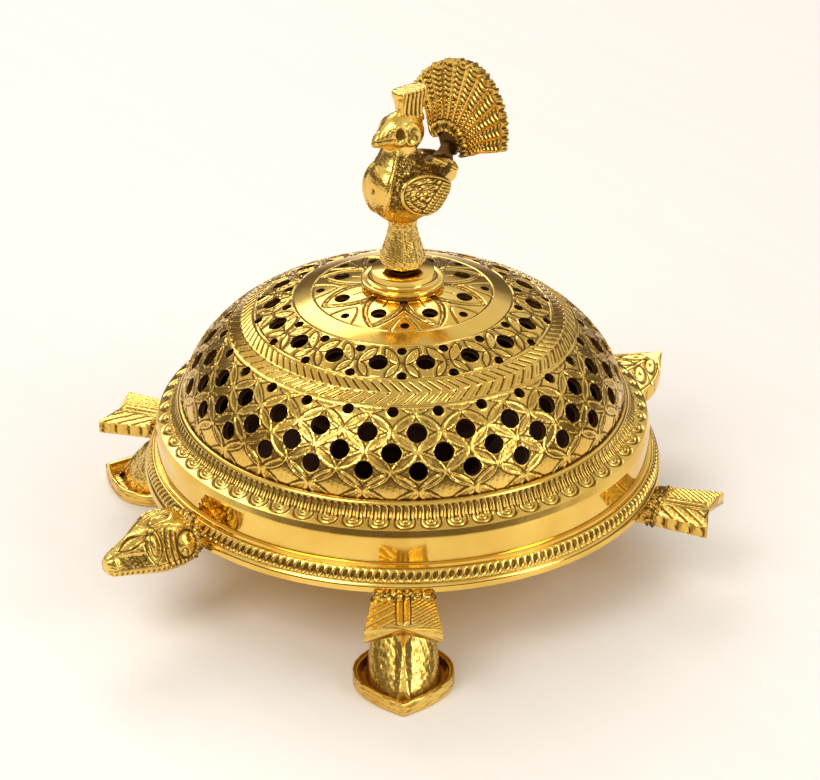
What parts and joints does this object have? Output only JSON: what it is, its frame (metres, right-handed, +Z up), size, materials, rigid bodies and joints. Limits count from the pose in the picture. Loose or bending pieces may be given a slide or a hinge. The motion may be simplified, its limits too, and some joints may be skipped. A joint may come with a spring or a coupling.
{
  "type": "incense burner",
  "caption": "Footed brass incense burner shaped as a turtle, with a pierced dome lid and a peacock finial.",
  "frame": {"origin": "on the table, under the middle of the pan", "axes": "+Z up, -Y towards the turtle's head, which is also the way the peacock looks, and +X towards the turtle's left limbs"},
  "size_m": [0.1692, 0.205, 0.145],
  "materials": {
    "polished_brass": "polished, with fine turning marks",
    "antique_brass": "cast and engraved, dark in the recesses and bright on the raised lines",
    "cup_brass": "spun, heat stained inside",
    "fastener_brass": "turned, unpolished"
  },
  "bodies": {
    "base": {"base_pan": "polished_brass", "rim_ring": "antique_brass", "turtle_head": "antique_brass", "front_left_flipper": "antique_brass", "front_right_flipper": "antique_brass", "rear_left_flipper": "antique_brass", "rear_right_flipper": "antique_brass", "turtle_tail": "antique_brass", "front_left_foot": "antique_brass", "front_right_foot": "antique_brass", "rear_foot": "antique_brass"},
    "lid": {"lid_flange": "antique_brass", "lid_dome": "antique_brass", "lid_crown": "antique_brass", "finial_collar": "polished_brass", "finial_washer": "fastener_brass", "finial_nut": "fastener_brass", "finial_stud": "fastener_brass", "peacock": "antique_brass", "peacock_fan": "antique_brass", "fan_rivet": "fastener_brass"},
    "ember_cup": {"ember_cup": "cup_brass"}
  },
  "joints": [
    {"name": "lid_lift", "type": "slide", "parent": "base", "child": "lid", "axis": [0, 0, 1], "range_m": [0, 0.09]},
    {"name": "ember_cup_lift", "type": "slide", "parent": "base", "child": "ember_cup", "axis": [0, 0, 1], "range_m": [0, 0.02]}
  ]
}
